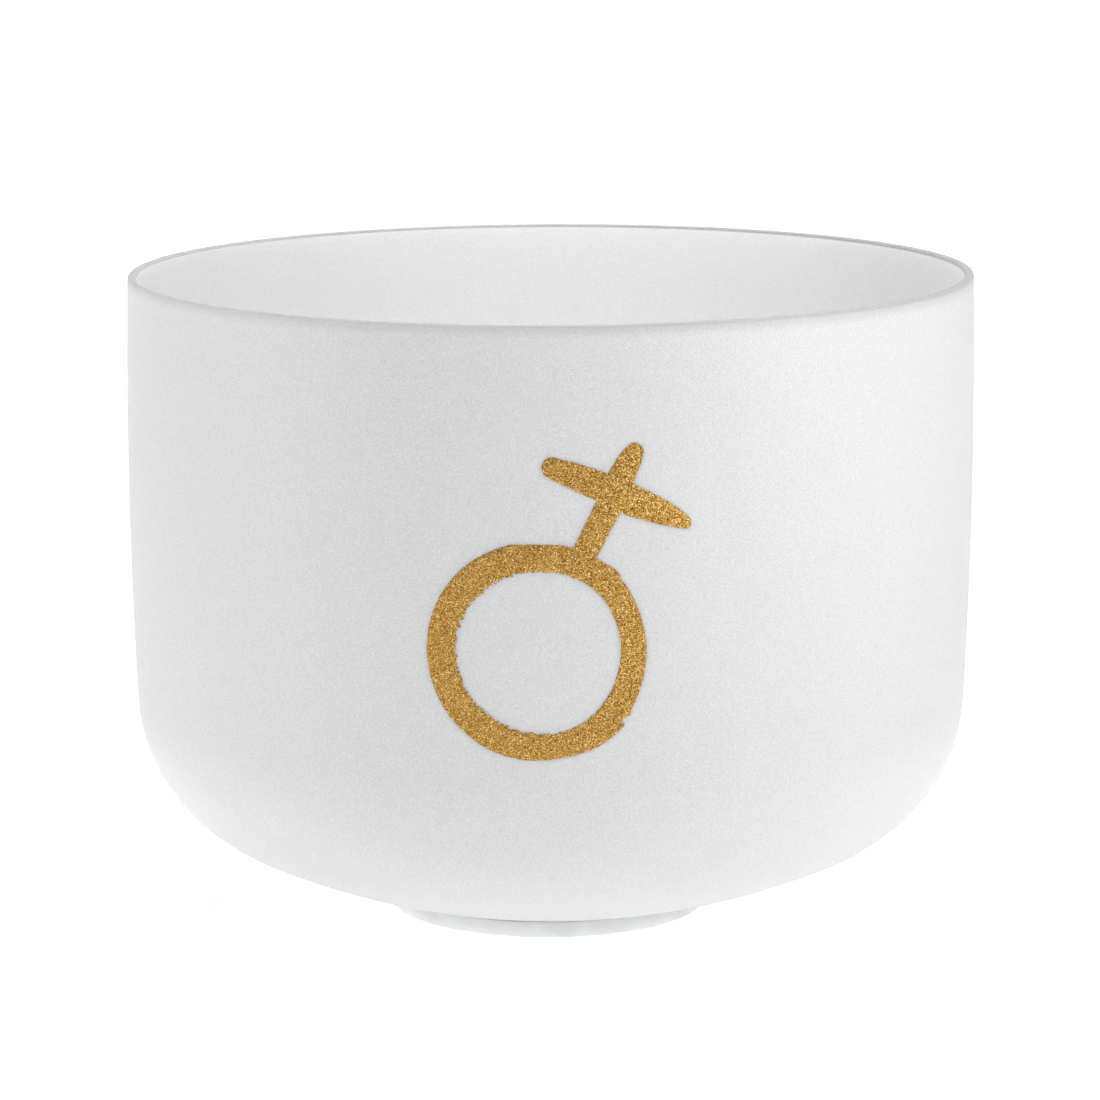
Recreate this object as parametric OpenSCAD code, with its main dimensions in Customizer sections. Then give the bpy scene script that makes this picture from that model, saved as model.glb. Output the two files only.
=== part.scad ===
// Frosted quartz singing bowl on a loose silicone ring, with a painted gold sign.
// Units: millimetres. +Z is up, and z = 0 is the surface that the ring stands on.
// The bowl turns about the Z axis, and its painted sign faces -Y.

/* [Bowl] */
// Widest outside diameter of the bowl
bowl_d = 305; // [260:1:370]
// Height of the bowl from its flat underside to the top of its lip
bowl_h = 231.4; // [190:0.1:290]
// How far the widest place lies below the lip
belly_drop = 58.5; // [40:0.5:75]
// Radius of the gentle bulge of the side, seen from the side
side_r = 2200; // [1500:10:4000]
// Outer radius of the rounded corner between the side and the underside
corner_r = 60.5; // [45:0.5:75]
// Outer radius of the domed underside
bottom_r = 265; // [220:1:330]
// Thickness of the quartz at the side and the lip
wall_t = 3.2; // [2.6:0.1:5]
// Thickness of the quartz at the underside
base_t = 4.5; // [3.5:0.1:6]
// Radius of the ground edges of the lip
lip_edge_r = 1.1; // [0.6:0.1:1.4]
// Depth of the small flat ground on the lowest part of the underside
flat_drop = 1.2; // [0.6:0.1:3]

/* [Ring] */
// Outside diameter of the silicone ring
ring_d = 116; // [90:1:150]
// Width of the band of the ring, seen from above
ring_w = 9; // [6:0.5:14]
// Radius of the rounded foot edges of the ring
ring_edge_r = 0.8; // [0.4:0.1:1.5]
// Clear height between the surface and the flat underside of the bowl
table_gap = 1.2; // [1:0.1:4]
// Clearance between the bowl and the seat that the ring gives it
seat_gap = 0.3; // [0.2:0.05:0.6]

/* [Painted sign] */
// Outside diameter of the painted orb
orb_d = 73.4; // [55:0.1:90]
// Width of the brush stroke of the orb
orb_stroke = 9.1; // [6:0.1:12]
// Width of the upright of the cross
stem_w = 8.3; // [6:0.1:11]
// Length of the upright outside the orb
stem_l = 40.3; // [32:0.1:50]
// Width of the bar of the cross
bar_w = 7.4; // [5:0.1:10]
// Length of the bar of the cross, tip to tip
bar_l = 54; // [40:0.5:66]
// Distance from the edge of the orb to the middle of the bar
bar_gap = 22; // [17:0.1:27]
// Turn of the whole sign, clockwise as its viewer sees it
sign_tilt = 25; // [0:1:35]
// Height from the middle of the orb up to the lip
orb_below_lip = 109.1; // [95:0.1:130]
// How far the middle of the orb lies to the right of the middle of the bowl
orb_x = -4.6; // [-20:0.1:20]
// Thickness of the layer of glitter paint
paint_t = 0.3; // [0.2:0.05:0.5]

/* [Hidden] */
$fn = 180;
// Fineness of small circles
small_fn = 60;

// Steps in which the side arc, the corner arc, the underside arc and a lip edge are drawn
side_n = 12;
corner_n = 30;
bottom_n = 18;
lip_n = 8;
// Heights of the bowl when it rests on the ring
lip_z = table_gap + bowl_h;
belly_z = lip_z - belly_drop;
// Centres, as [x, z], of the side arc and of the underside arc
side_c = [bowl_d / 2 - side_r, belly_z];
bottom_c = [0, table_gap - flat_drop + bottom_r];
// The most of the wall's thickness that one rounded edge of the lip may take
lip_share = 0.45;
lip_r = min(lip_edge_r, lip_share * wall_t);

function reversed(points) = [for (i = [len(points) - 1 : -1 : 0]) points[i]];

// Direction from c to p, in degrees
function direction(c, p) = atan2(p[1] - c[1], p[0] - c[0]);

// Points of the arc round c from angle a to angle b, without its first point
function arc(c, r, a, b, n) =
    [for (i = [1:n]) let (w = a + (b - a) * i / n) c + r * [cos(w), sin(w)]];

// Point where circle (c, r) and circle (d, s) cross, on the right of the line from c to d
function crossing(c, r, d, s) =
    let (l = norm(d - c), u = (d - c) / l, a = (r * r - s * s + l * l) / (2 * l))
    c + a * u + sqrt(r * r - a * a) * [u[1], -u[0]];

// Centre of a rounded edge of the lip, at this distance from the centre of the side arc
function edge_c(distance) =
    let (z = lip_z - lip_r, rise = z - belly_z)
    [side_c[0] + sqrt(distance * distance - rise * rise), z];
outer_c = edge_c(side_r - lip_r);
inner_c = edge_c(side_r - wall_t + lip_r);
outer_a = direction(side_c, outer_c);
inner_a = direction(side_c, inner_c);

// One face of the wall, from the lip down to the middle: three arcs that run smoothly
// into each other. The angles are those of its two ends.
function face(side, corner, bottom, top_a, low_a) =
    let (corner_c = crossing(side_c, side - corner, bottom_c, bottom - corner),
         side_a = direction(side_c, corner_c), bottom_a = direction(bottom_c, corner_c))
    concat([side_c + side * [cos(top_a), sin(top_a)]],
        arc(side_c, side, top_a, side_a, side_n),
        arc(corner_c, corner, side_a, bottom_a, corner_n),
        arc(bottom_c, bottom, bottom_a, low_a, bottom_n));

// The outside of the body grown by t, down to the edge of the flat
function outside(t) =
    face(side_r + t, corner_r + t, bottom_r + t, outer_a, -90 + acos(1 - flat_drop / bottom_r));

// The inside of the body, down to its middle
inside = face(side_r - wall_t, corner_r - (wall_t + base_t) / 2, bottom_r - base_t, inner_a, -90);

module bowl() {
    color("whitesmoke") rotate_extrude() polygon(concat(
        outside(0),
        [[0, table_gap]],
        reversed(inside),
        arc(inner_c, lip_r, 180 + inner_a, 90, lip_n),
        [outer_c + [0, lip_r]],
        reversed(arc(outer_c, lip_r, outer_a, 90, lip_n))));
}

module base_ring() {
    inner_r = ring_d / 2 - ring_w;
    color("gainsboro") difference() {
        rotate_extrude() {
            translate([inner_r, ring_edge_r]) square([ring_w, bottom_r]);
            translate([inner_r + ring_edge_r, 0]) square([ring_w - 2 * ring_edge_r, 2 * ring_edge_r]);
            for (x = [inner_r + ring_edge_r, ring_d / 2 - ring_edge_r])
                translate([x, ring_edge_r]) circle(r = ring_edge_r, $fn = small_fn);
        }
        translate([0, 0, bottom_c[1]]) sphere(r = bottom_r + seat_gap);
    }
}

// A straight brush stroke from the origin along +Y, with a round far end
module stroke(width, length) {
    translate([-width / 2, 0]) square([width, length - width / 2]);
    translate([0, length - width / 2]) circle(d = width, $fn = small_fn);
}

// The flat outline of the sign: an orb with a cross on top of it
module sign_outline() {
    orb_r = orb_d / 2;
    difference() {
        union() {
            circle(d = orb_d);
            stroke(stem_w, orb_r + stem_l);
        }
        circle(r = orb_r - orb_stroke);
    }
    for (side = [90, -90]) translate([0, orb_r + bar_gap]) rotate(side) stroke(bar_w, bar_l / 2);
}

module gold_sign() {
    color("goldenrod") intersection() {
        translate([orb_x, 0, lip_z - orb_below_lip]) rotate([90, 0, 0])
            linear_extrude(height = bowl_d) rotate(-sign_tilt) sign_outline();
        rotate_extrude() polygon(concat(outside(paint_t), reversed(outside(0))));
    }
}

base_ring();
bowl();
gold_sign();
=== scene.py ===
"""Frosted quartz singing bowl with a painted gold sign, on its loose silicone ring.

Everything is in metres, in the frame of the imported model: +Z is up, the ring stands on
z = 0, the bowl turns about the Z axis and its painted sign faces -Y.
"""

import logging
import math
from collections.abc import Sequence
from dataclasses import dataclass, field
from enum import Enum

import bpy
import numpy as np
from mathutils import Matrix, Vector


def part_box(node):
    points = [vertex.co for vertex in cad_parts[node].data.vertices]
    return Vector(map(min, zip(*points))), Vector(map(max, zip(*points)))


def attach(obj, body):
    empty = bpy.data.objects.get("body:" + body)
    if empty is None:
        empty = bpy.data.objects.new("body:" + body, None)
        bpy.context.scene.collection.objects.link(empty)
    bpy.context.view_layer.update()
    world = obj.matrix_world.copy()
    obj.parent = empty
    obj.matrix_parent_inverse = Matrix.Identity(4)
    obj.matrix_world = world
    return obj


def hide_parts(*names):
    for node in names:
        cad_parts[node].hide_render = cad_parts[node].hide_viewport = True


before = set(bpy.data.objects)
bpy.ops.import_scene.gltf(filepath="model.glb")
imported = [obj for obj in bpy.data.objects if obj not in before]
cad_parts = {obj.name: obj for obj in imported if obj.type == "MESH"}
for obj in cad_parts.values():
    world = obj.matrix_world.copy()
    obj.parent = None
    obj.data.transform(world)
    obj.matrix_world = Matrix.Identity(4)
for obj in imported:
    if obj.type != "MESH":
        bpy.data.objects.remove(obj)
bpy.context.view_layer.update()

LOG = logging.getLogger("singing_bowl")
MM = 0.001
TURN = 2.0 * math.pi
# Light of every colour goes equally far in a white body.
EVEN = (1.0, 1.0, 1.0)
# Most values of a noise texture lie between these.
NOISE_LOW, NOISE_HIGH = 0.35, 0.65
Faces = list[list[int]]
Bump = tuple[float, float]


# ---------------------------------------------------------------- shared helpers


def linear(code: str) -> tuple[float, float, float, float]:
    """Turn an sRGB hex colour into Blender's linear colour.

    Args:
        code: six hex digits.

    Returns:
        Linear red, green and blue, and an alpha of 1.
    """
    srgb = [int(code[i : i + 2], 16) / 255.0 for i in (0, 2, 4)]
    rgb = [c / 12.92 if c <= 0.04045 else ((c + 0.055) / 1.055) ** 2.4 for c in srgb]
    return rgb[0], rgb[1], rgb[2], 1.0


def add(
    tree: bpy.types.NodeTree,
    kind: str,
    inputs: dict[str | int, object] | None = None,
    stops: Sequence[tuple[float, str]] = (),
    **settings: object,
) -> bpy.types.Node:
    """Add a node with its settings, and its inputs as values or as links.

    Args:
        tree: the node tree that the node joins.
        kind: Blender's name for the node's type.
        inputs: input name or number to a value, or to the output socket that feeds it.
        stops: place and hex colour of each stop, for a node that has a colour ramp. A new
            ramp has two stops, so the first two are moved and the others are added.
        **settings: attributes of the node itself.

    Returns:
        The new node.
    """
    node = tree.nodes.new(kind)
    for name, value in settings.items():
        setattr(node, name, value)
    for name, value in (inputs or {}).items():
        if isinstance(value, bpy.types.NodeSocket):
            tree.links.new(value, node.inputs[name])
        else:
            node.inputs[name].default_value = value
    for number, (place, code) in enumerate(stops):
        elements = node.color_ramp.elements
        element = elements[number] if number < 2 else elements.new(place)
        element.position = place
        element.color = linear(code)
    return node


def new_material(name: str) -> tuple[bpy.types.Material, bpy.types.NodeTree, bpy.types.NodeSocket]:
    """Make a node material that has only an output.

    Args:
        name: the finish's name.

    Returns:
        The material, its node tree, and the output's surface socket.
    """
    material = bpy.data.materials.new(name)
    material.use_nodes = True
    material.node_tree.nodes.clear()
    output = material.node_tree.nodes.new("ShaderNodeOutputMaterial")
    return material, material.node_tree, output.inputs["Surface"]


def mesh_piece(
    name: str,
    points: np.ndarray,
    faces: Faces,
    material: bpy.types.Material,
) -> bpy.types.Object:
    """Make a smooth-shaded object at the origin, with its place in its mesh.

    Args:
        name: the piece's name.
        points: an (x, y, z) row for each vertex.
        faces: vertex numbers of each face, counter-clockwise seen from outside.
        material: its finish.

    Returns:
        The new object, linked to the scene.
    """
    mesh = bpy.data.meshes.new(name)
    mesh.from_pydata(points.tolist(), [], faces)
    mesh.polygons.foreach_set("use_smooth", np.ones(len(mesh.polygons), bool))
    mesh.materials.append(material)
    mesh.update()
    piece = bpy.data.objects.new(name, mesh)
    bpy.context.scene.collection.objects.link(piece)
    return piece


def arc(centre: np.ndarray, radius: float, start: float, end: float, steps: int) -> np.ndarray:
    """Points of an arc, centre + radius * (cos a, sin a), without its first point.

    Args:
        centre: (r, z) of the arc's centre.
        radius: its radius.
        start: angle a of the point before the first, in radians.
        end: angle a of the last point, in radians.
        steps: number of even steps of a.

    Returns:
        An (r, z) row for each point.
    """
    angle = np.linspace(start, end, steps + 1)[1:]
    return centre + radius * np.column_stack([np.cos(angle), np.sin(angle)])


def direction(start: np.ndarray, end: np.ndarray) -> float:
    """Angle of the way from start to end, in radians."""
    return math.atan2(end[1] - start[1], end[0] - start[0])


def revolved(section: np.ndarray, columns: int) -> tuple[np.ndarray, Faces]:
    """Turn a section about the Z axis.

    The vertices are a grid of section points by even steps of the angle a, each at
    (r cos a, r sin a, z). The section has the outside on its right. Where it starts or ends on
    the axis, a fan round one vertex closes it. Where it does neither, it is a closed loop.

    Args:
        section: an (r, z) row for each point.
        columns: number of steps round.

    Returns:
        The vertices and the faces.
    """
    starts, ends = section[0, 0] == 0.0, section[-1, 0] == 0.0
    rim = section[int(starts) : len(section) - int(ends)]
    angle, radius = np.meshgrid(np.arange(columns) * TURN / columns, rim[:, 0])
    height = np.broadcast_to(rim[:, 1:], radius.shape)
    points = np.stack([radius * np.cos(angle), radius * np.sin(angle), height], -1).reshape(-1, 3)
    number = np.arange(rim.shape[0] * columns).reshape(-1, columns)
    low, high = (number[:-1], number[1:]) if starts or ends else (number, np.roll(number, -1, 0))
    quads = np.stack([low, np.roll(low, -1, 1), np.roll(high, -1, 1), high], -1)
    faces = quads.reshape(-1, 4).tolist()
    fans = ((starts, section[0, 1], number[0, ::-1]), (ends, section[-1, 1], number[-1]))
    for on_axis, pole_z, edge in fans:
        if on_axis:
            pole = np.full(columns, len(points))
            faces += np.column_stack([pole, edge, np.roll(edge, -1)]).tolist()
            points = np.vstack([points, [0.0, 0.0, pole_z]])
    return points, faces


def blurred_noise(shape: tuple[int, int], grain: float, random: np.random.Generator) -> np.ndarray:
    """Noise with lumps of one size: white noise times a Gaussian in its Fourier transform.

    The Gaussian is exp(-2 * (pi * spread * frequency)^2), with half the grain as its spread.

    Args:
        shape: rows and columns of the grid.
        grain: size of the lumps, in steps of the grid.
        random: the seeded source.

    Returns:
        The noise, with a mean of 0 and a standard deviation of 1.
    """
    rows, columns = np.meshgrid(np.fft.fftfreq(shape[0]), np.fft.fftfreq(shape[1]), indexing="ij")
    spread = grain / 2.0
    keep = np.exp(-2.0 * (math.pi * spread) ** 2 * (rows**2 + columns**2))
    noise = np.fft.ifft2(np.fft.fft2(random.standard_normal(shape)) * keep).real
    return (noise - noise.mean()) / noise.std()


def joined(cells: np.ndarray, passes: int = 3) -> np.ndarray:
    """Drop the cells of a grid that would be loose specks, or touch the rest only at a corner.

    A cell stays if two or more of the cells across its sides are there. Where two cells are
    there across a corner from each other and the two beside them aren't, the lower one goes.
    Each further pass clears what the one before it bared.

    Args:
        cells: whether each cell of the grid is there, with its lowest row first.
        passes: number of passes.

    Returns:
        The same, with those cells gone.
    """
    for _ in range(passes):
        there = np.pad(cells, 1).astype(int)
        beside = there[:-2, 1:-1] + there[2:, 1:-1] + there[1:-1, :-2] + there[1:-1, 2:]
        cells = cells & (beside > 1)
        low_left, low_right = cells[:-1, :-1].copy(), cells[:-1, 1:].copy()
        high_left, high_right = cells[1:, :-1].copy(), cells[1:, 1:].copy()
        cells[:-1, :-1] &= ~(low_left & high_right & ~low_right & ~high_left)
        cells[:-1, 1:] &= ~(low_right & high_left & ~low_left & ~high_right)
    return cells


# ---------------------------------------------------------------- finishes


@dataclass(frozen=True)
class FrostedQuartz:
    """Fused quartz, frosted by its mould's sand: a white, dry skin with a fine sparkling grain.

    A bump is a strength and a depth. From fade below lip_z up to it, the outer face darkens
    towards a painted shade under the lip. The lip's colour, darker partly for its glass, cleared
    by grinding, and partly as painted shade on the rim, starts at ground_starts below it, and is
    full at ground_full below it.
    """

    lip_z: float
    light: str = "DBDBDB"
    shade: str = "CACACA"
    # The inner face's grain tones, whiter than the outer ones: painted light, for the light that
    # shines through the wall onto it.
    painted_lit_inner_light: str = "FEFEFE"
    painted_lit_inner_shade: str = "F0F0F0"
    # A painted shade: the outer face darkens to this colour just under the lip.
    painted_lip_shade: str = "E6E6E6"
    # The lip's colour: darker partly for its clearer glass, cleared by grinding, and partly as
    # painted shade on the rim.
    lip_glass_and_shade: str = "AEAFAE"
    ior: float = 1.46
    roughness: float = 0.5
    grain: float = 0.45 * MM
    grain_bump: Bump = (0.45, 0.25 * MM)
    ripple: float = 12.0 * MM
    ripple_bump: Bump = (0.15, 0.5 * MM)
    light_path: float = 6.0 * MM
    fade: float = 5.0 * MM
    ground_starts: float = 1.1 * MM
    ground_full: float = 0.4 * MM

    def material(self) -> bpy.types.Material:
        """Build the finish.

        The grit is about 0.2 mm on the real skin, too fine to show, so it is drawn coarser.
        The inner face, which no sand touched, is painted whiter: painted light, for the light that
        shines through the wall onto it. The piece's attribute "inside" tells it apart. The lip,
        finished by grinding, is darker, partly for its clearer glass and partly as painted shade on
        the rim, and the last few millimetres below it are darkened by a painted shade.

        Returns:
            The material.
        """
        material, tree, surface = new_material("quartz_fused_sand_frosted")
        place = add(tree, "ShaderNodeTexCoord").outputs["Object"]
        height = add(tree, "ShaderNodeSeparateXYZ", {"Vector": place}).outputs["Z"]
        grit = add(tree, "ShaderNodeTexNoise", {
            "Vector": place, "Scale": 1.0 / self.grain, "Detail": 2.0,
        })
        ripples = add(tree, "ShaderNodeTexNoise", {
            "Vector": place, "Scale": 1.0 / self.ripple, "Detail": 1.0,
        })
        # Where the painted shade under the lip falls: from fade below the lip up to it.
        painted_lip_shade = add(tree, "ShaderNodeMapRange", {
            "Value": height, "From Min": self.lip_z - self.fade, "From Max": self.lip_z,
        }, interpolation_type="SMOOTHSTEP")
        on_lip = add(tree, "ShaderNodeMapRange", {
            "Value": height,
            "From Min": self.lip_z - self.ground_starts,
            "From Max": self.lip_z - self.ground_full,
        })
        outer = add(tree, "ShaderNodeValToRGB", {"Fac": grit.outputs["Fac"]},
                    stops=[(NOISE_LOW, self.shade), (NOISE_HIGH, self.light)])
        # The inner face's colours, painted whiter as painted light.
        inner = add(tree, "ShaderNodeValToRGB", {"Fac": grit.outputs["Fac"]},
                    stops=[(NOISE_LOW, self.painted_lit_inner_shade), (NOISE_HIGH, self.painted_lit_inner_light)])
        inside = add(tree, "ShaderNodeAttribute", attribute_name="inside").outputs["Fac"]
        # Painted shade under the lip, multiplied into the outer face.
        lip_shaded = add(tree, "ShaderNodeMix", {
            0: painted_lip_shade.outputs["Result"], 6: outer.outputs["Color"], 7: linear(self.painted_lip_shade),
        }, data_type="RGBA", blend_type="MULTIPLY")
        skin = add(tree, "ShaderNodeMix", {
            0: inside, 6: lip_shaded.outputs[2], 7: inner.outputs["Color"],
        }, data_type="RGBA")
        # The lip's darker colour: partly its clearer glass, partly painted shade on the rim.
        colour = add(tree, "ShaderNodeMix", {
            0: on_lip.outputs["Result"], 6: skin.outputs[2], 7: linear(self.lip_glass_and_shade),
        }, data_type="RGBA")
        soft = add(tree, "ShaderNodeBump", {
            "Height": ripples.outputs["Fac"],
            "Strength": self.ripple_bump[0],
            "Distance": self.ripple_bump[1],
        })
        rough = add(tree, "ShaderNodeBump", {
            "Height": grit.outputs["Fac"],
            "Normal": soft.outputs["Normal"],
            "Strength": self.grain_bump[0],
            "Distance": self.grain_bump[1],
        })
        shader = add(tree, "ShaderNodeBsdfPrincipled", {
            "Base Color": colour.outputs[2],
            "Roughness": self.roughness,
            "IOR": self.ior,
            "Subsurface Weight": 1.0,
            "Subsurface Radius": EVEN,
            "Subsurface Scale": self.light_path,
            "Normal": rough.outputs["Normal"],
        })
        tree.links.new(shader.outputs["BSDF"], surface)
        return material


@dataclass(frozen=True)
class GlitterPaint:
    """Acrylic paint full of polyester glitter, brushed on: flakes that glint one by one."""

    flake: float = 0.3 * MM
    # The darkest flake colour is a painted shade, for flakes turned from the light, and glint is a
    # painted glint.
    painted_flake_shade: str = "5E3B0C"
    dull: str = "8F631B"
    gold: str = "BA8B38"
    bright: str = "D8B061"
    glint: str = "F7DEA0"
    tilt: float = 0.5
    metallic: float = 0.6
    roughness: float = 0.38

    def material(self) -> bpy.types.Material:
        """Build the finish.

        A flake is a cell of a Voronoi pattern. Its random colour picks its gold, whose darkest is a
        painted shade and whose brightest a painted glint, and, less its mean of one half, leans its
        normal, so that each catches the light by itself. Real flakes are about 0.2 mm wide. They
        are drawn wider, so that they show.

        Returns:
            The material.
        """
        material, tree, surface = new_material("acrylic_gold_glitter_brushed")
        place = add(tree, "ShaderNodeTexCoord").outputs["Object"]
        cells = add(tree, "ShaderNodeTexVoronoi", {"Vector": place, "Scale": 1.0 / self.flake})
        pick = add(tree, "ShaderNodeSeparateXYZ", {"Vector": cells.outputs["Color"]})
        # Painted light at the ends: the flakes' random colours run from a painted shade to a
        # painted glint.
        colour = add(tree, "ShaderNodeValToRGB", {"Fac": pick.outputs["X"]}, stops=[
            (0.0, self.painted_flake_shade),
            (1.0, self.glint),
            (0.2, self.dull),
            (0.6, self.gold),
            (0.9, self.bright),
        ])
        lean = add(tree, "ShaderNodeVectorMath", {0: cells.outputs["Color"], 1: (0.5, 0.5, 0.5)},
                   operation="SUBTRACT")
        scaled = add(tree, "ShaderNodeVectorMath", {0: lean.outputs["Vector"], "Scale": self.tilt},
                     operation="SCALE")
        straight = add(tree, "ShaderNodeNewGeometry").outputs["Normal"]
        leaning = add(tree, "ShaderNodeVectorMath", {0: straight, 1: scaled.outputs["Vector"]})
        normal = add(tree, "ShaderNodeVectorMath", {0: leaning.outputs["Vector"]},
                     operation="NORMALIZE")
        shader = add(tree, "ShaderNodeBsdfPrincipled", {
            "Base Color": colour.outputs["Color"],
            "Metallic": self.metallic,
            "Roughness": self.roughness,
            "Normal": normal.outputs["Vector"],
        })
        tree.links.new(shader.outputs["BSDF"], surface)
        return material


@dataclass(frozen=True)
class Silicone:
    """Silicone rubber, moulded, unfilled: milky and a little see-through, with a soft sheen."""

    milk: str = "F4F5F5"
    cloud: str = "EAEBEB"
    ior: float = 1.41
    roughness: float = 0.5
    milkiness: float = 0.4
    light_path: float = 4.0 * MM
    cloud_size: float = 12.0 * MM
    skin: float = 1.5 * MM
    skin_bump: Bump = (0.25, 0.1 * MM)

    def material(self) -> bpy.types.Material:
        """Build the finish: cloudy milk white, and the faint texture of a mould's wall.

        Returns:
            The material.
        """
        material, tree, surface = new_material("silicone_rubber_moulded")
        place = add(tree, "ShaderNodeTexCoord").outputs["Object"]
        clouds = add(tree, "ShaderNodeTexNoise", {
            "Vector": place, "Scale": 1.0 / self.cloud_size, "Detail": 3.0,
        })
        texture = add(tree, "ShaderNodeTexNoise", {
            "Vector": place, "Scale": 1.0 / self.skin, "Detail": 3.0,
        })
        colour = add(tree, "ShaderNodeValToRGB", {"Fac": clouds.outputs["Fac"]},
                     stops=[(NOISE_LOW, self.cloud), (NOISE_HIGH, self.milk)])
        bump = add(tree, "ShaderNodeBump", {
            "Height": texture.outputs["Fac"],
            "Strength": self.skin_bump[0],
            "Distance": self.skin_bump[1],
        })
        shader = add(tree, "ShaderNodeBsdfPrincipled", {
            "Base Color": colour.outputs["Color"],
            "Roughness": self.roughness,
            "IOR": self.ior,
            "Subsurface Weight": self.milkiness,
            "Subsurface Radius": EVEN,
            "Subsurface Scale": self.light_path,
            "Normal": bump.outputs["Normal"],
        })
        tree.links.new(shader.outputs["BSDF"], surface)
        return material


@dataclass(frozen=True)
class StudioPaper:
    """White seamless paper, matt coated: it is lit so brightly that it shows as plain white.

    It glows by near_glow up to near from the bowl, and by far_glow from far outwards.
    """

    white: str = "FAFAFA"
    roughness: float = 0.9
    shine: float = 0.2
    near_glow: float = 0.5
    far_glow: float = 1.15
    near: float = 0.6
    far: float = 1.7

    def material(self) -> bpy.types.Material:
        """Build the finish: matt white, lit from below, and more so where no lamp reaches.

        Returns:
            The material.
        """
        material, tree, surface = new_material("paper_seamless_white")
        place = add(tree, "ShaderNodeTexCoord").outputs["Object"]
        distance = add(tree, "ShaderNodeVectorMath", {0: place}, operation="LENGTH")
        glow = add(tree, "ShaderNodeMapRange", {
            "Value": distance.outputs["Value"], "From Min": self.near, "From Max": self.far,
            "To Min": self.near_glow, "To Max": self.far_glow,
        }, interpolation_type="SMOOTHSTEP")
        shader = add(tree, "ShaderNodeBsdfPrincipled", {
            "Base Color": linear(self.white),
            "Roughness": self.roughness,
            "Specular IOR Level": self.shine,
            "Emission Color": linear("FFFFFF"),
            "Emission Strength": glow.outputs["Result"],
        })
        tree.links.new(shader.outputs["BSDF"], surface)
        return material


# ---------------------------------------------------------------- the bowl


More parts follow.
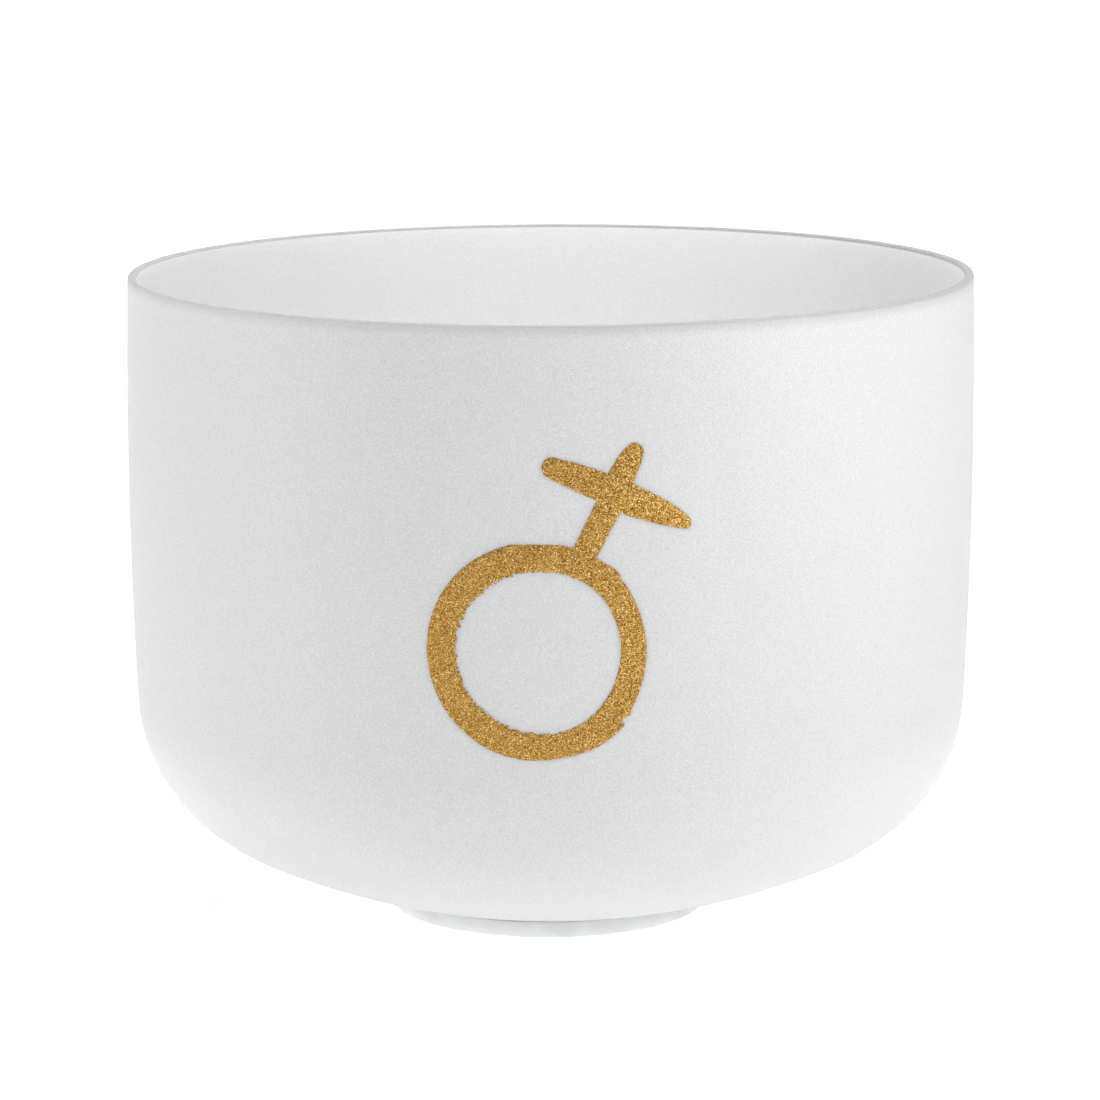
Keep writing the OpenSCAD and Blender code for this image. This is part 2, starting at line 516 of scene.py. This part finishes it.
@dataclass
class Bowl:
    """The quartz body: a turned shell whose faces are a side, a corner and an underside arc.

    The lip lies lip_rise higher at +X than at -X. The wall's lobes are wave high and start at
    wave_turn, in radians, and five of them turn by a radian over a height of wave_twist.
    """

    side_r: float = 2200.0 * MM
    corner_r: float = 60.5 * MM
    bottom_r: float = 265.0 * MM
    belly_drop: float = 58.5 * MM
    wall: float = 3.2 * MM
    base: float = 4.5 * MM
    lip_r: float = 1.1 * MM
    flat_drop: float = 1.2 * MM
    lip_rise: float = 1.3 * MM
    wave: float = 0.12 * MM
    wave_turn: float = 0.6
    wave_twist: float = 40.0 * MM
    columns: int = 320
    bottom_steps: int = 28
    corner_steps: int = 40
    side_steps: int = 26
    lip_steps: int = 8

    def __post_init__(self) -> None:
        """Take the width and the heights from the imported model."""
        low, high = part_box("bowl")
        self.radius = high.x
        self.foot_z, self.lip_z = low.z, high.z
        self.belly_z = self.lip_z - self.belly_drop
        self.side_c = np.array([self.radius - self.side_r, self.belly_z])
        self.bottom_c = np.array([0.0, self.foot_z - self.flat_drop + self.bottom_r])

    def corner_centre(self, side: float, corner: float, bottom: float) -> np.ndarray:
        """Centre of the corner arc that runs smoothly into the side and the underside arc.

        It is where a circle of radius side - corner round the side's centre crosses a circle
        of radius bottom - corner round the underside's centre.

        Args:
            side: radius of the side arc.
            corner: radius of the corner arc.
            bottom: radius of the underside arc.

        Returns:
            (r, z) of the centre.
        """
        across = self.bottom_c - self.side_c
        apart = float(np.hypot(*across))
        along = across / apart
        near, far = side - corner, bottom - corner
        reach = (near**2 - far**2 + apart**2) / (2.0 * apart)
        out = math.sqrt(near**2 - reach**2)
        return self.side_c + reach * along + out * np.array([along[1], -along[0]])

    def outside_radius(self, z: np.ndarray) -> np.ndarray:
        """Radius of the side's outer face at height z: the side arc's r where its height is z."""
        return self.side_c[0] + np.sqrt(self.side_r**2 - (z - self.belly_z) ** 2)

    def settled(self, points: np.ndarray) -> np.ndarray:
        """Give points on the body the small faults of a shell that is moulded and cut by hand.

        The lip is cut a little out of square, so z grows with x and with the square of the
        height above the corner. The radius grows by wave times the sum of two sines round the
        body: one of two lobes, and half of one of five lobes, which twists as it goes up.

        Args:
            points: an (x, y, z) row for each point of the perfect shape.

        Returns:
            The moved points.
        """
        x, y, z = points.T
        up = np.clip((z - self.corner_r) / (self.lip_z - self.corner_r), 0.0, 1.0)
        angle = np.arctan2(y, x)
        two = np.sin(2.0 * angle + self.wave_turn)
        five = np.sin(5.0 * angle + z / self.wave_twist)
        grown = 1.0 + self.wave * up * (two + 0.5 * five) / self.radius
        lifted = z + self.lip_rise / 2.0 * (x / self.radius) * up**2
        return np.column_stack([x * grown, y * grown, lifted])

    def face_section(self, inset: float, base_inset: float, low: float) -> np.ndarray:
        """One face of the wall, from low on the underside up to where the lip's edge starts.

        Args:
            inset: how far the face lies inside the outer side.
            base_inset: how far it lies inside the outer underside.
            low: angle on the underside arc where it starts, in radians.

        Returns:
            An (r, z) row for each point.
        """
        side, bottom = self.side_r - inset, self.bottom_r - base_inset
        corner = self.corner_r - (inset + base_inset) / 2.0
        centre = self.corner_centre(side, corner, bottom)
        down, out = direction(self.bottom_c, centre), direction(self.side_c, centre)
        top = math.asin((self.lip_z - self.lip_r - self.belly_z) / side)
        return np.vstack([
            arc(self.bottom_c, bottom, low, down, self.bottom_steps),
            arc(centre, corner, down, out, self.corner_steps),
            arc(self.side_c, side, out, top, self.side_steps),
        ])

    def section(self) -> tuple[np.ndarray, np.ndarray]:
        """The whole section: flat, outer face, lip with two rounded edges, and inner face.

        Returns:
            An (r, z) row for each point, and for each a 1 on the inner face, 0 elsewhere.
        """
        flat = math.acos(1.0 - self.flat_drop / self.bottom_r)
        flat_r = self.bottom_r * math.sin(flat)
        outer = self.face_section(0.0, 0.0, -math.pi / 2.0 + flat)
        inner = self.face_section(self.wall, self.base, -math.pi / 2.0)[::-1]
        outer_c = outer[-1] - [self.lip_r, 0.0]
        inner_c = inner[0] + [self.lip_r, 0.0]
        section = np.vstack([
            [[0.0, self.foot_z], [flat_r / 2.0, self.foot_z], [flat_r, self.foot_z]],
            outer,
            arc(outer_c, self.lip_r, 0.0, math.pi / 2.0, self.lip_steps),
            [inner_c + [0.0, self.lip_r]],
            arc(inner_c, self.lip_r, math.pi / 2.0, math.pi, self.lip_steps)[:-1],
            inner,
        ])
        section[-1, 0] = 0.0
        inside = np.arange(len(section)) >= len(section) - len(inner)
        return section, inside.astype(float)

    def build(self) -> bpy.types.Object:
        """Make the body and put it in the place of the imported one.

        Returns:
            The finished piece.
        """
        section, inside = self.section()
        points, faces = revolved(section, self.columns)
        skin = FrostedQuartz(self.lip_z).material()
        piece = mesh_piece("quartz_bowl", self.settled(points), faces, skin)
        marks = np.append(np.repeat(inside[1:-1], self.columns), inside[[0, -1]])
        piece.data.attributes.new("inside", "FLOAT", "POINT").data.foreach_set("value", marks)
        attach(piece, "bowl")
        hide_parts("bowl")
        return piece


# ---------------------------------------------------------------- the painted sign


class Edge(Enum):
    """How ragged the bristles leave the edge of a stroke: the size of its faults, in mm."""

    CLEAN = 0.06
    DRAGGED = 0.5


@dataclass(frozen=True)
class Stroke:
    """One brush stroke, in mm on the unrolled wall: right of the middle, and up from the table.

    Its middle is a quadratic Bezier curve through start, towards bend, to end. Its width goes
    from wide to narrow as the given power of the way along.
    """

    start: tuple[float, float]
    bend: tuple[float, float]
    end: tuple[float, float]
    wide: float
    narrow: float
    power: float = 1.0
    samples: int = 60

    def path(self) -> tuple[np.ndarray, np.ndarray]:
        """Points of the middle, (1-t)^2 start + 2t(1-t) bend + t^2 end for t from 0 to 1.

        Returns:
            An (x, y) row for each point, and half the stroke's width at each.
        """
        t = np.linspace(0.0, 1.0, self.samples)[:, None]
        start, bend, end = (np.array(p) for p in (self.start, self.bend, self.end))
        points = (1.0 - t) ** 2 * start + 2.0 * t * (1.0 - t) * bend + t**2 * end
        half = (self.wide + (self.narrow - self.wide) * t[:, 0] ** self.power) / 2.0
        return points, half

    def distance(self, x: np.ndarray, y: np.ndarray) -> np.ndarray:
        """Distance out of the stroke, negative inside: the least of those to its round dabs.

        Args:
            x: distance right of the middle of the front, in mm.
            y: height, in mm.

        Returns:
            The distance in mm.
        """
        points, half = self.path()
        apart = np.hypot(x[..., None] - points[:, 0], y[..., None] - points[:, 1]) - half
        return apart.min(-1)


@dataclass(frozen=True)
class RoundStroke:
    """One brush stroke along an arc, in mm on the unrolled wall, with square ends.

    It runs counter-clockwise between two angles in degrees, and no higher than its top.
    """

    centre: tuple[float, float]
    radius: float
    width: float
    start: float
    end: float
    top: float = math.inf

    def distance(self, x: np.ndarray, y: np.ndarray) -> np.ndarray:
        """Distance out of the stroke: the greatest of those past its edges, ends and top.

        Args:
            x: distance right of the middle of the front, in mm.
            y: height, in mm.

        Returns:
            The distance in mm, negative inside.
        """
        right, up = x - self.centre[0], y - self.centre[1]
        off = np.abs(np.hypot(right, up) - self.radius) - self.width / 2.0
        middle = math.radians(self.start + self.end) / 2.0
        half = math.radians(self.end - self.start) / 2.0
        turn = np.abs((np.arctan2(up, right) - middle + math.pi) % TURN - math.pi) - half
        return np.max([off, turn * self.radius, y - self.top], 0)


@dataclass
class GoldSign:
    """The painted Earth sign: an orb in three round strokes and a spur, and a cross in six.

    Its sizes are in mm on the unrolled wall, and its grid of cells runs from low to high. The
    layer is paint thick, give or take its relief, whose marks are bristle wide. It thins out
    over edge_fall, and sinks bed deep into the wall behind. The faults of its edges are of
    fine_grain and coarse_grain. The brush dragged along the orb's inner edge. There the fine
    faults are largest up to drag_reach - drag_fade outside the hole, and fade out towards
    drag_reach. They also fade to the right, and end at drag_right times the hole's radius.
    """

    bowl: Bowl
    orb: tuple[RoundStroke, ...] = (
        RoundStroke((-4.75, 123.65), 32.1, 10.1, 44.0, 326.0, 159.9),
        RoundStroke((-8.0, 123.0), 35.0, 10.2, -34.0, 47.0),
        RoundStroke((1.4, 118.4), 26.3, 9.0, -85.0, -40.0),
    )
    spur: Stroke = Stroke((25.3, 107.5), (26.0, 103.2), (26.3, 102.0), 3.2, 1.2)
    hole_c: tuple[float, float] = (-3.72, 123.27)
    hole_r: float = 27.5
    hole_wobble: float = 0.46
    hole_turn: float = 53.7
    cross: tuple[Stroke, ...] = (
        Stroke((7.0, 154.3), (13.0, 151.6), (18.8, 147.6), 9.2, 9.0),
        Stroke((9.6, 153.5), (15.5, 165.5), (21.0, 176.5), 8.4, 8.8),
        Stroke((21.1, 177.0), (24.8, 186.0), (27.7, 190.6), 9.8, 6.0, 1.4),
        Stroke((25.7, 183.0), (29.2, 187.0), (29.6, 191.4), 4.0, 2.6),
        Stroke((21.5, 177.0), (9.5, 182.2), (0.3, 185.6), 9.6, 6.9, 2.0),
        Stroke((21.5, 176.3), (33.8, 171.6), (45.2, 166.1), 10.3, 4.2, 2.4),
    )
    drag_reach: float = 3.0
    drag_fade: float = 2.0
    drag_right: float = 0.6
    fine_grain: float = 0.3
    coarse_grain: float = 4.0
    bristle: float = 1.0
    cell: float = 0.3
    paint: float = 0.13
    edge_fall: float = 0.6
    thinnest: float = 0.02
    relief: float = 0.015
    bed: float = 0.05
    seed: int = 11
    low: tuple[float, float] = (-46.0, 84.0)
    high: tuple[float, float] = (51.0, 197.0)

    def outline(self, x: np.ndarray, y: np.ndarray) -> np.ndarray:
        """Distance out of the sign, negative inside, with edges as ragged as the brush left them.

        It is the least distance to a stroke, plus noise of two sizes. The orb's strokes stop
        at its hole, whose radius is hole_r + hole_wobble * cos(3 * (angle - hole_turn)). The
        fine noise is strong where the bristles dragged, round the left of the hole.

        Args:
            x: distance right of the middle of the front, in mm, on a grid.
            y: height, in mm, on the same grid.

        Returns:
            The distance in mm, on the same grid.
        """
        right, up = x - self.hole_c[0], y - self.hole_c[1]
        turn = np.arctan2(up, right) - math.radians(self.hole_turn)
        out = self.hole_r + self.hole_wobble * np.cos(3.0 * turn) - np.hypot(right, up)
        orb = np.maximum(np.min([stroke.distance(x, y) for stroke in self.orb], 0), out)
        cross = np.min([stroke.distance(x, y) for stroke in (*self.cross, self.spur)], 0)
        random = np.random.default_rng(self.seed)
        fine = blurred_noise(x.shape, self.fine_grain / self.cell, random)
        coarse = blurred_noise(x.shape, self.coarse_grain / self.cell, random)
        near_hole = np.clip((self.drag_reach + out) / self.drag_fade, 0.0, 1.0)
        dragged = near_hole * np.clip(self.drag_right - right / self.hole_r, 0.0, 1.0)
        rough = Edge.CLEAN.value + (Edge.DRAGGED.value - Edge.CLEAN.value) * dragged
        return np.minimum(orb, cross) + rough * fine + Edge.CLEAN.value * coarse

    def mesh_arrays(self) -> tuple[np.ndarray, Faces]:
        """Cut the sign out of a grid on the wall, and give it a paint layer's height.

        Vertices next to the edge slide onto it, down the slope of the distance, by half a
        cell at most. The height is paint * (1 - exp(-depth / edge_fall)) plus relief noise,
        which grows over the first millimetre. The same grid, sunk a little into the wall,
        closes the layer from behind, and a skirt joins the two.

        Returns:
            The vertices in metres and the faces.
        """
        x, y = np.meshgrid(np.arange(self.low[0], self.high[0], self.cell),
                           np.arange(self.low[1], self.high[1], self.cell))
        out = self.outline(x, y)
        slope_y, slope_x = np.gradient(out, self.cell)
        least_slope, reach, slide = 0.5, 0.6 * self.cell, 0.5 * self.cell
        steep = np.maximum(np.hypot(slope_x, slope_y), least_slope)
        edge = np.abs(out) < reach * steep
        step = np.where(edge, np.clip(out / steep, -slide, slide), 0.0)
        x, y = x - step * slope_x / steep, y - step * slope_y / steep
        kept = edge | (out < 0.0)

        number = np.arange(x.size).reshape(x.shape)
        corners = [number[:-1, :-1], number[:-1, 1:], number[1:, 1:], number[1:, :-1]]
        quads = np.stack(corners, -1).reshape(-1, 4)
        cells = kept.ravel()[quads].all(1) & ~edge.ravel()[quads].all(1)
        quads = quads[joined(cells.reshape(number.shape[0] - 1, -1)).ravel()]
        used, quads = np.unique(quads, return_inverse=True)
        quads = quads.reshape(-1, 4)
        x, y, depth = x.ravel()[used], y.ravel()[used], np.where(edge, 0.0, -out).ravel()[used]

        random = np.random.default_rng(self.seed + 1)
        bristles = blurred_noise(number.shape, self.bristle / self.cell, random).ravel()[used]
        relief = self.relief * bristles * np.minimum(depth, 1.0)
        height = self.paint * (1.0 - np.exp(-depth / self.edge_fall)) + relief
        height = np.maximum(height, self.thinnest)
        back = np.full_like(x, -self.bed)
        points = np.vstack([self.on_wall(x, y, height), self.on_wall(x, y, back)])

        edges = np.stack([quads, np.roll(quads, -1, 1)], -1).reshape(-1, 2)
        _, first, uses = np.unique(np.sort(edges, 1), axis=0, return_index=True, return_counts=True)
        start, end = edges[first[uses == 1]].T
        below = len(used)
        skirt = np.column_stack([end, start, start + below, end + below])
        return points, np.vstack([quads, quads[:, ::-1] + below, skirt]).tolist()

    def on_wall(self, x: np.ndarray, y: np.ndarray, height: np.ndarray) -> np.ndarray:
        """Points over the wall: x is an arc at the belly, as an angle, and y is the height z.

        Args:
            x: distance round the wall from the middle of the front, in mm.
            y: height above the table, in mm.
            height: distance off the wall, in mm.

        Returns:
            An (x, y, z) row for each point, in metres.
        """
        z = y * MM
        radius = self.bowl.outside_radius(z) + height * MM
        angle = x * MM / self.bowl.radius
        perfect = np.column_stack([radius * np.sin(angle), -radius * np.cos(angle), z])
        return self.bowl.settled(perfect)

    def build(self) -> bpy.types.Object:
        """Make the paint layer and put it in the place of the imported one.

        Returns:
            The finished piece.
        """
        points, faces = self.mesh_arrays()
        piece = mesh_piece("painted_earth_sign", points, faces, GlitterPaint().material())
        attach(piece, "bowl")
        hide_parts("gold_sign")
        return piece


# ---------------------------------------------------------------- the ring


@dataclass
class BaseRing:
    """The soft ring: a square band whose top is pressed to the dome of the bowl.

    The edges of its foot are rounded by foot_r and those of its seat by seat_r. It lies
    off_centre from the bowl's axis, along X.
    """

    bowl: Bowl
    width: float = 9.0 * MM
    seat_gap: float = 0.3 * MM
    foot_r: float = 0.9 * MM
    seat_r: float = 0.6 * MM
    bulge: float = 0.25 * MM
    off_centre: float = -1.2 * MM
    columns: int = 256
    foot_steps: int = 6
    edge_steps: int = 5
    side_points: int = 10
    seat_points: int = 12

    def __post_init__(self) -> None:
        """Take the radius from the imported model."""
        self.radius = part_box("base_ring")[1].x

    def section(self) -> np.ndarray:
        """The closed section: a flat foot, sides that bulge by a sine, and a seat on the dome.

        The seat follows a circle of the dome's radius plus the gap, round the dome's centre.

        Returns:
            An (r, z) row for each point.
        """
        inner, outer = self.radius - self.width, self.radius
        dome, centre = self.bowl.bottom_r + self.seat_gap, self.bowl.bottom_c[1]
        seat_r = np.linspace(outer - self.seat_r, inner + self.seat_r, self.seat_points)
        seat = np.column_stack([seat_r, centre - np.sqrt(dome**2 - seat_r**2)])
        foot = self.foot_r
        half = math.pi / 2.0

        def side(radius: float, high: float, sign: float) -> np.ndarray:
            """A side from the foot's edge to high, pushed out by a sine of the way up.

            Args:
                radius: its radius at both ends.
                high: height of its upper end.
                sign: 1 to push it outwards from the axis, -1 inwards.

            Returns:
                An (r, z) row for each point.
            """
            t = np.linspace(0.0, 1.0, self.side_points)
            pushed = radius + sign * self.bulge * np.sin(math.pi * t)
            return np.column_stack([pushed, foot + (high - foot) * t])

        return np.vstack([
            arc(np.array([inner + foot, foot]), foot, math.pi, 1.5 * math.pi, self.foot_steps),
            arc(np.array([outer - foot, foot]), foot, -half, 0.0, self.foot_steps),
            side(outer, seat[0, 1] - self.seat_r, 1.0)[1:],
            arc(seat[0] - [0.0, self.seat_r], self.seat_r, 0.0, half, self.edge_steps),
            seat[1:],
            arc(seat[-1] - [0.0, self.seat_r], self.seat_r, half, math.pi, self.edge_steps),
            side(inner, seat[-1, 1] - self.seat_r, -1.0)[-2::-1],
        ])

    def build(self) -> bpy.types.Object:
        """Make the ring, a little off the bowl's axis as a loose ring lies.

        Returns:
            The finished piece.
        """
        points, faces = revolved(self.section(), self.columns)
        points += [self.off_centre, 0.0, 0.0]
        piece = mesh_piece("silicone_ring", points, faces, Silicone().material())
        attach(piece, "ring")
        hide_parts("base_ring")
        return piece


# ---------------------------------------------------------------- the studio


@dataclass(frozen=True)
class Softbox:
    """A rectangular lamp that looks at one point."""

    name: str
    place: tuple[float, float, float]
    aim: tuple[float, float, float]
    width: float
    height: float
    power: float

    def build(self) -> None:
        """Make the lamp."""
        lamp = bpy.data.lights.new(self.name, "AREA")
        lamp.shape = "RECTANGLE"
        lamp.size = self.width
        lamp.size_y = self.height
        lamp.energy = self.power
        holder = bpy.data.objects.new(self.name, lamp)
        holder.visible_camera = False
        holder.location = self.place
        towards = Vector(self.aim) - Vector(self.place)
        holder.rotation_euler = towards.to_track_quat("-Z", "Y").to_euler()
        bpy.context.scene.collection.objects.link(holder)


@dataclass
class Studio:
    """Camera, white table and soft lamps.

    The camera stands at distance in front of the bowl's axis and looks down by pitch, in
    degrees, through a lens in mm. It sees as far as sight. The floor ends in a cove.
    """

    distance: float = 1616.4 * MM
    eye_height: float = 427.65 * MM
    pitch: float = 10.43
    lens: float = 147.74
    side_shift: float = -0.0007
    sight: float = 100.0
    air: float = 0.02
    floor_r: float = 6.0
    cove_r: float = 0.85
    floor_columns: int = 96
    cove_steps: int = 24
    lamps: tuple[Softbox, ...] = field(default_factory=lambda: (
        Softbox("softbox_left", (-0.65, -0.26, 0.3), (0.0, 0.0, 0.15), 0.3, 0.5, 0.85),
        Softbox("softbox_right", (0.334, -0.301, 0.3), (0.0, 0.0, 0.14), 0.15, 0.3, 0.6),
        Softbox("softbox_back", (0.0, 0.7, 1.3), (0.0, 0.0, 0.1), 0.9, 0.9, 12.0),
        Softbox("softbox_front", (0.0, -0.7, 1.3), (0.0, 0.0, 0.1), 0.9, 0.9, 5.0),
        Softbox("softbox_top", (0.0, 0.0, 1.2), (0.0, 0.0, 0.1), 0.35, 0.35, 3.0),
    ))

    def build(self) -> None:
        """Set up the camera, the air's light, the lamps and the table, in that order."""
        bpy.context.scene.view_settings.view_transform = "Standard"
        self.set_camera()
        self.light_air()
        for lamp in self.lamps:
            lamp.build()
        self.lay_table()

    def set_camera(self) -> None:
        """Make the camera and look down at the bowl through it."""
        scene = bpy.context.scene
        lens = bpy.data.cameras.new("camera")
        lens.lens = self.lens
        lens.shift_x = self.side_shift
        lens.clip_end = self.sight
        camera = bpy.data.objects.new("camera", lens)
        camera.location = (0.0, -self.distance, self.eye_height)
        camera.rotation_euler = (math.radians(90.0 - self.pitch), 0.0, 0.0)
        scene.collection.objects.link(camera)
        scene.camera = camera

    def light_air(self) -> None:
        """Give the dark room the faint light of its air."""
        world = bpy.data.worlds.new("dark_room")
        world.use_nodes = True
        world.node_tree.nodes["Background"].inputs["Strength"].default_value = self.air
        bpy.context.scene.world = world

    def lay_table(self) -> None:
        """Lay the paper: a round floor whose edge turns up in a quarter circle, the cove."""
        top = [[self.floor_r + self.cove_r, self.cove_r]]
        centre = np.array([self.floor_r, self.cove_r])
        cove = arc(centre, self.cove_r, 0.0, -math.pi / 2.0, self.cove_steps)
        section = np.vstack([top, cove, [[0.0, 0.0]]])
        points, faces = revolved(section, self.floor_columns)
        mesh_piece("table", points, faces, StudioPaper().material())


def main() -> None:
    """Build the studio and every piece, and report each."""
    logging.basicConfig(level=logging.INFO, format="%(name)s: %(message)s")
    Studio().build()
    bowl = Bowl()
    for maker in (bowl, GoldSign(bowl), BaseRing(bowl)):
        piece = maker.build()
        mesh = piece.data
        LOG.info("%s: %d vertices, %d faces", piece.name, len(mesh.vertices), len(mesh.polygons))


if __name__ == "__main__":
    main()
